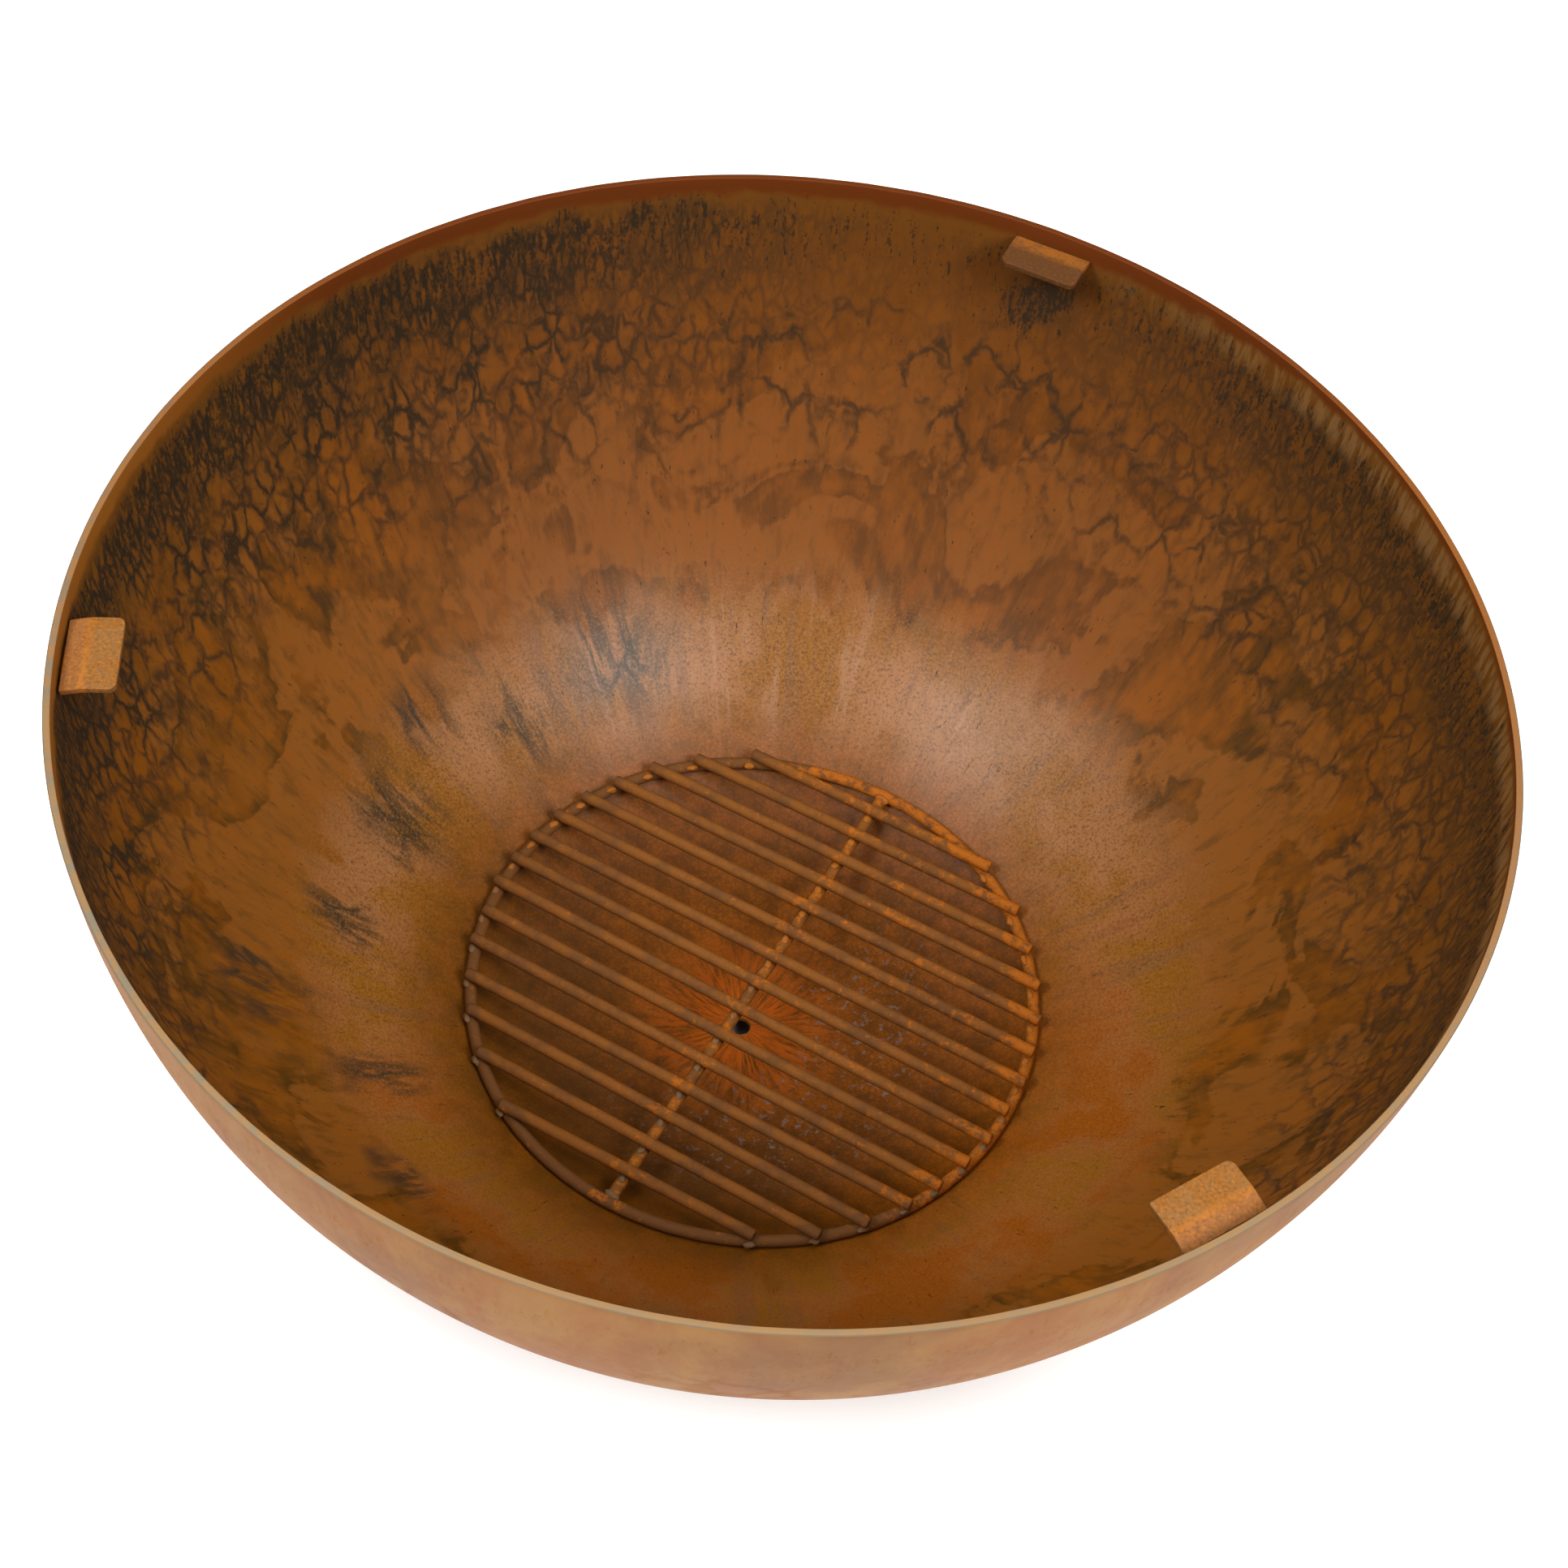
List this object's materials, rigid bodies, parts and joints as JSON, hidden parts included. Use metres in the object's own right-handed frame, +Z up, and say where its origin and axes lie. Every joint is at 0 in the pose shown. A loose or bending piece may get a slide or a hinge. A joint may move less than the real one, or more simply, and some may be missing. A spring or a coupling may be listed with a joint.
{
  "type": "fire pit with grate",
  "caption": "Deep round fire bowl of rusted steel on a short base ring, with bent support tabs inside its edge, a drain hole, and a loose round grate of parallel rods low in the bowl.",
  "frame": {"origin": "on the ground, on the axis of the bowl", "axes": "+Z up along the axis of the bowl; -Y points to the viewer of the picture and +X to that viewer's right"},
  "size_m": [0.8, 0.8, 0.4027],
  "materials": {
    "bowl_steel": "weathered steel, matte to satin brown-orange rust with a darker crackled band inside the edge",
    "base_steel": "weathered steel, matte tan-orange rust",
    "tab_steel": "weathered steel, matte bright orange-tan rust with a fine grain",
    "grate_steel": "weathered steel bar, matte dark brown rust with orange patches at its ends",
    "weld_steel": "weathered weld bead, matte bright orange rust"
  },
  "bodies": {
    "bowl": {"bowl_shell": "bowl_steel", "base_ring": "base_steel", "base_ring_weld": "weld_steel", "support_tab_1": "tab_steel", "support_tab_2": "tab_steel", "support_tab_3": "tab_steel", "tab_weld_1": "weld_steel", "tab_weld_2": "weld_steel", "tab_weld_3": "weld_steel"},
    "grate": {"grate_ring": "grate_steel", "grate_cross_bar": "grate_steel", "grate_rod_01": "grate_steel", "grate_rod_02": "grate_steel", "grate_rod_03": "grate_steel", "grate_rod_04": "grate_steel", "grate_rod_05": "grate_steel", "grate_rod_06": "grate_steel", "grate_rod_07": "grate_steel", "grate_rod_08": "grate_steel", "grate_rod_09": "grate_steel", "grate_rod_10": "grate_steel", "grate_rod_11": "grate_steel", "grate_rod_12": "grate_steel", "grate_rod_13": "grate_steel", "grate_rod_14": "grate_steel", "grate_rod_15": "grate_steel"}
  },
  "joints": [
    {"name": "grate_lift", "type": "slide", "parent": "bowl", "child": "grate", "axis": [0, 0, 1], "range_m": [0, 0.36]}
  ]
}
